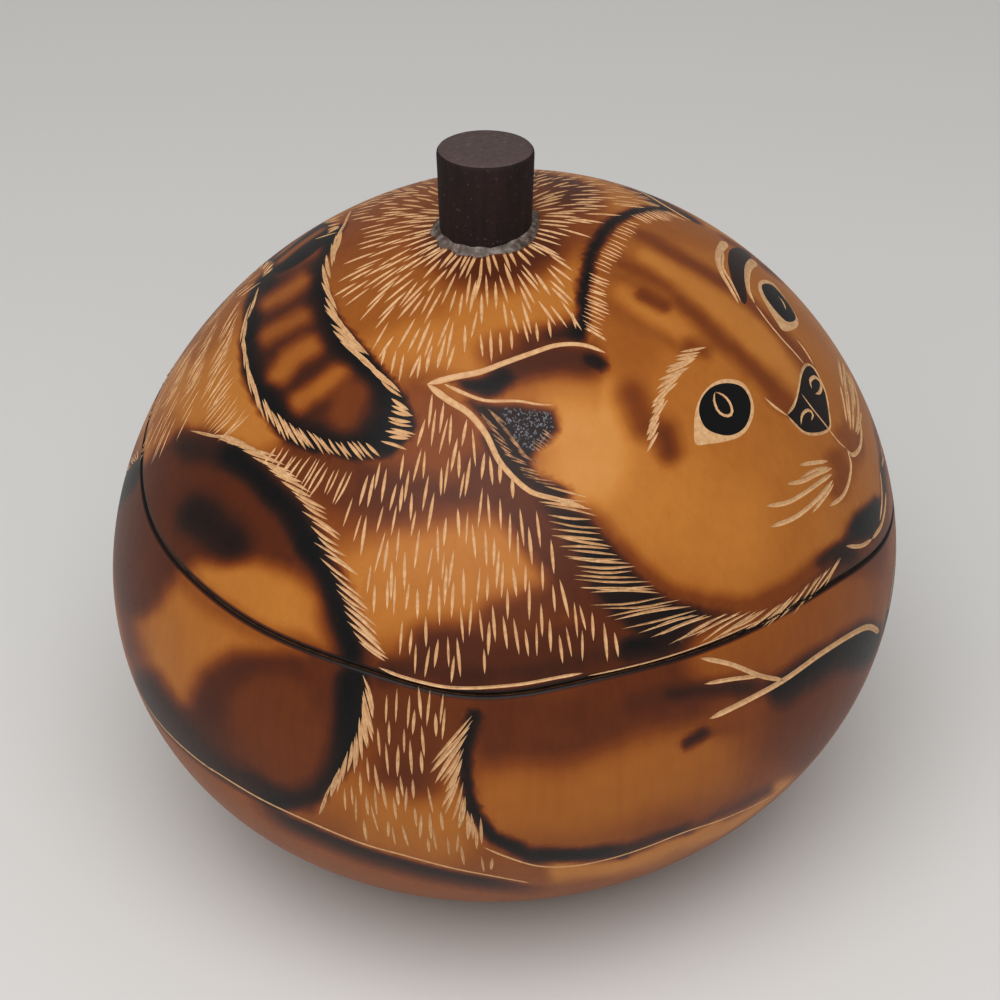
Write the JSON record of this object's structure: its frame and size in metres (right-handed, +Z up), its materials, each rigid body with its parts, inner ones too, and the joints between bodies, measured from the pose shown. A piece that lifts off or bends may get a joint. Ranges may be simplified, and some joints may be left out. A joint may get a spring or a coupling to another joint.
{
  "type": "carved gourd box",
  "caption": "Round hollow dried-gourd box, carved and burnt with a curled-up cat, whose sawn upper shell lifts off as a lid by a wooden knob.",
  "frame": {"origin": "on the table, under the middle of the gourd's foot", "axes": "+Z up, -Y the way the carved cat's face looks, +X the cat's left side"},
  "size_m": [0.1024, 0.0976, 0.095],
  "materials": {
    "gourd_base_skin": "carved and burnt dried gourd, satin varnish",
    "gourd_lid_skin": "carved and burnt dried gourd, satin varnish",
    "knob_wood": "dark stained wood, matt",
    "dried_glue": "dried craft glue, cloudy"
  },
  "bodies": {
    "base": {"gourd_base": "gourd_base_skin"},
    "lid": {"gourd_lid": "gourd_lid_skin", "stem_knob": "knob_wood", "glue_bead": "dried_glue"}
  },
  "joints": [
    {"name": "lid_lift", "type": "slide", "parent": "base", "child": "lid", "axis": [0, 0, 1], "range_m": [0, 0.06]}
  ]
}
